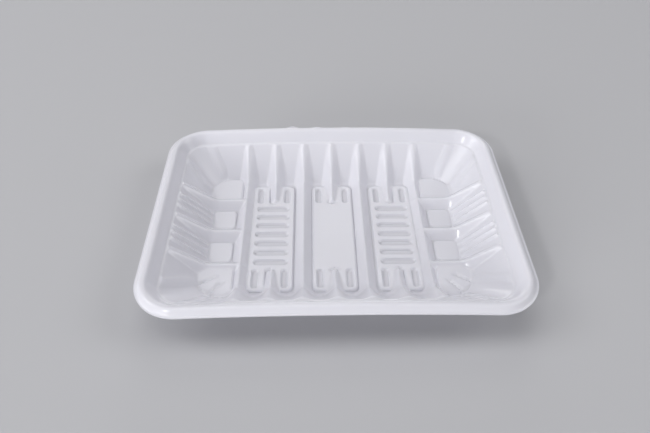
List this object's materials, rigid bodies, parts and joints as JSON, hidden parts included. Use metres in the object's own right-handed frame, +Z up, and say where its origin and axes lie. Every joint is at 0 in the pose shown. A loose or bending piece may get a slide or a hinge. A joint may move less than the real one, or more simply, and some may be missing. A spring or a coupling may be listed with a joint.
{
  "type": "plastic food tray",
  "caption": "Shallow rectangular food tray formed from one thin white plastic sheet, with a rolled rim, sloping ribbed walls and a floor of ribs, slots and pockets.",
  "frame": {"origin": "on the resting plane, under the middle of the tray", "axes": "+X along the length, +Y towards the back long side, +Z up out of the open mouth"},
  "size_m": [0.22, 0.16, 0.0293],
  "materials": {
    "white_plastic": "smooth formed white plastic with a soft gloss"
  },
  "bodies": {
    "root": {"food_tray": "white_plastic"}
  },
  "joints": []
}
